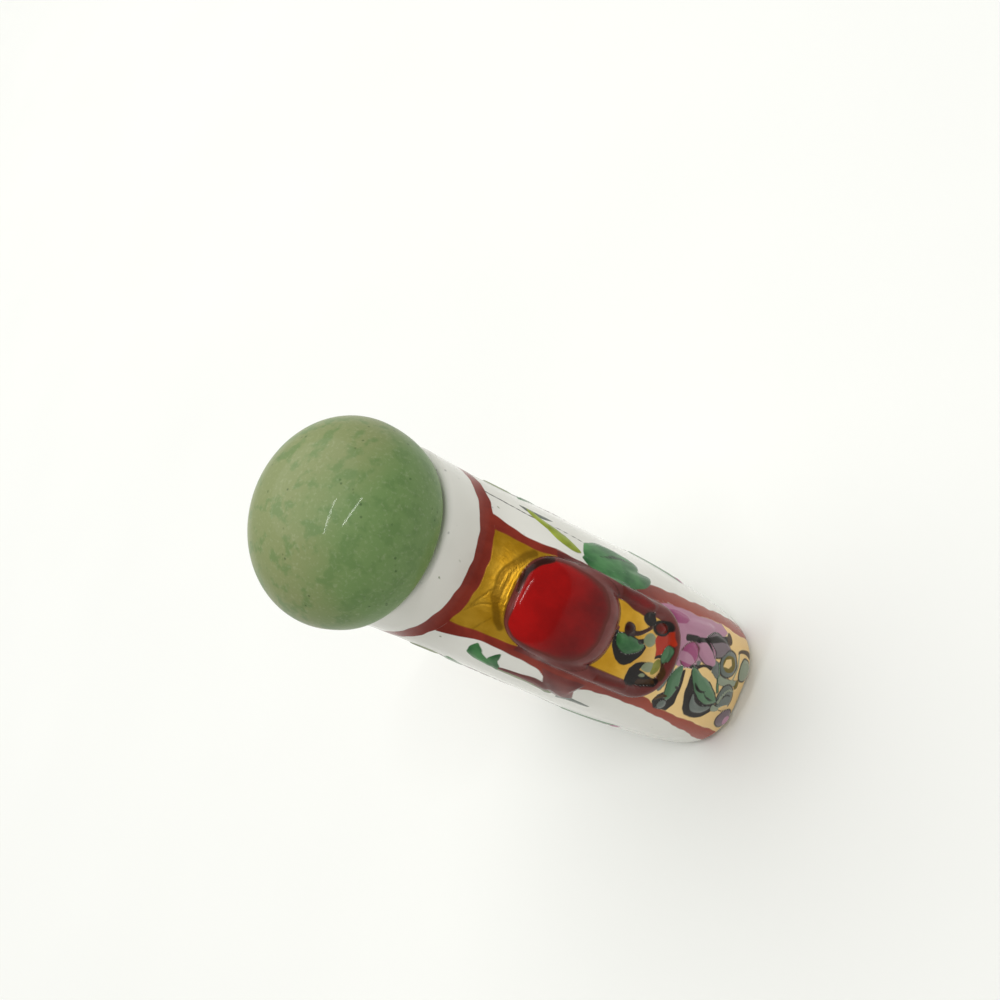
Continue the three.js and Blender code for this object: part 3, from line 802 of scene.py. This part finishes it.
# The stone is painted paler and yellower on the side towards the window and a fuller green on the side away
# from it, as painted light and shade, with a bowed and wandering border between the two.
painted_shade_way = (0.68, 0.41, -0.61)
border_way = (-0.24, 0.91, 0.35)
border_offset = 25.7
border_middle = 12.8
border_bow = 0.06
border_wander = 8
border_softness = 3.5
aventurine = Finish("green_aventurine")
cloudy = aventurine.noise(0.16, 3)
grain = aventurine.noise(3.2, 4)
patch = aventurine.noise(0.7, 3)
slope = aventurine.add("VectorMath", {"operation": "DOT_PRODUCT"},
                       {0: aventurine.place(), 1: painted_shade_way}, "Value")
along = aventurine.add("VectorMath", {"operation": "DOT_PRODUCT"},
                       {0: aventurine.place(), 1: border_way}, "Value") - border_middle
past_border = slope + border_offset + cloudy * border_wander - along * along * border_bow
painted_shade_share = past_border.between(-border_softness, border_softness)
stone_colour = aventurine.mix(painted_shade_share, colour("858f61"), colour("718d57"))
stone_colour = aventurine.mix(patch.between(0.48, 0.62) * 0.6, stone_colour, colour("62804c"))
stone_colour = aventurine.mix(grain.between(0.5, 0.75) * 0.2, stone_colour, colour("b4ba98"))
fleck = aventurine.add("TexVoronoi", {"feature": "F1"}, {"Vector": aventurine.place(), "Scale": 1.2},
                       "Distance")
fleck_choice = aventurine.noise(0.5, 1).between(0.55, 0.62)
dark_fleck = (1 - fleck.between(0.06, 0.2)) * fleck_choice * 0.6
stone_colour = aventurine.mix(dark_fleck, stone_colour, colour("354d2b"))
aventurine.feed(aventurine.shader.inputs["Base Color"], stone_colour)
aventurine.feed(aventurine.shader.inputs["Roughness"], 0.34 + grain * 0.1)
aventurine.feed(aventurine.shader.inputs["Specular IOR Level"], 0.08)
aventurine.feed(aventurine.shader.inputs["Coat Weight"], 0.15)
aventurine.feed(aventurine.shader.inputs["Coat Roughness"], 0.06)
aventurine.bump(grain, 0.15, 0.05)
stopper_mesh.materials.append(aventurine.material)

# ---- the cork -----------------------------------------------------------------------------------------
# A short plug of cork, cut with a slight taper and pushed into the neck, where the stone hides it. The real
# one holds the stone in place. Its own solid is the right shape, so only its finish is made here.
cork = Finish("cork")
lenticel = cork.noise(1.4, 3, (1, 1, 0.4))
pore = cork.noise(3.5, 2)
cork_colour = cork.mix(pore.between(0.4, 0.7), colour("b98a5a"), colour("8a5f38"))
cork_colour = cork.mix(lenticel.between(0.6, 0.68), cork_colour, colour("4a2c18"))
cork.feed(cork.shader.inputs["Base Color"], cork_colour)
cork.feed(cork.shader.inputs["Roughness"], 0.8 + pore * 0.15)
cork.bump(pore + lenticel, 0.4, 0.1)
cork_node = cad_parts["stopper_cork"]
cork_node.data.materials.clear()
cork_node.data.materials.append(cork.material)

# ---- the table it stands on, the light and the camera -------------------------------------------------
# Plain white paper in soft daylight from a wide window high on the far side, with two narrow lamps overhead
# that glint in the glaze and the stone. The bottle is seen from above one narrow side.
paper_size = 1.6  # in metres, as the lamps' lengths are
paper = bmesh.new()
bmesh.ops.create_grid(paper, x_segments=1, y_segments=1, size=paper_size / 2)
floor_mesh = bpy.data.meshes.new("paper")
paper.to_mesh(floor_mesh)
paper.free()
floor = bpy.data.objects.new("paper", floor_mesh)
bpy.context.collection.objects.link(floor)
white = Finish("white_paper")
tooth = white.noise(0.02, 2)
white.feed(white.shader.inputs["Base Color"], white.mix(tooth, colour("f0f1ed"), colour("ebece8")))
white.feed(white.shader.inputs["Roughness"], 0.7)
floor_mesh.materials.append(white.material)

world = bpy.data.worlds.new("daylight")
world.use_nodes = True
sky = world.node_tree.nodes["Background"]
sky.inputs["Color"].default_value = (1.0, 0.99, 0.95, 1)
sky.inputs["Strength"].default_value = 0.33
bpy.context.scene.world = world
bpy.context.scene.view_settings.view_transform = "Standard"
bottle_middle = 0.03


def lamp(name, elevation, azimuth, away, size, power, shape="DISK", turn=0):
    """A flat lamp that faces the bottle's middle, with its angles in degrees and its power in watts."""
    light = bpy.data.lights.new(name, "AREA")
    light.shape = shape
    light.size, light.size_y = size
    light.energy = power
    rise_angle, round_angle = math.radians(elevation), math.radians(azimuth)
    way = Vector((math.cos(rise_angle) * math.cos(round_angle), math.cos(rise_angle) * math.sin(round_angle),
                  math.sin(rise_angle)))
    facing = way.to_track_quat("Z", "Y").to_matrix().to_4x4()
    holder = bpy.data.objects.new(name, light)
    middle = Vector((0, 0, bottle_middle))
    holder.matrix_world = (Matrix.Translation(middle + way * away) @ facing
                           @ Matrix.Rotation(math.radians(turn), 4, "Z"))
    bpy.context.collection.objects.link(holder)


lamp("window", 62, 158, 0.75, (1.2, 1.2), 5.7)
lamp("near_tube", 84, -61, 0.9, (0.42, 0.022), 1.1, "RECTANGLE", 64)
lamp("far_tube", 67, 16, 0.9, (0.46, 0.022), 1.45, "RECTANGLE", -29)

# The camera stands over the +X side, rolled so that the bottle leans across the view.
camera_data = bpy.data.cameras.new("camera")
camera_data.sensor_width = 36
camera_data.lens = 36
camera_data.clip_start = 0.005
camera = bpy.data.objects.new("camera", camera_data)
stand = Vector((65.9, -0.9, 98.75)) * millimetre
sight_azimuth = math.radians(-7.1)
sight_elevation = math.radians(45.36)
camera_roll = math.radians(-60.5)
back_way = Vector((math.cos(sight_elevation) * math.cos(sight_azimuth),
                   math.cos(sight_elevation) * math.sin(sight_azimuth), math.sin(sight_elevation)))
level_turn = back_way.to_track_quat("Z", "Y").to_matrix().to_4x4()
camera.matrix_world = Matrix.Translation(stand) @ level_turn @ Matrix.Rotation(camera_roll, 4, "Z")
bpy.context.collection.objects.link(camera)
bpy.context.scene.camera = camera
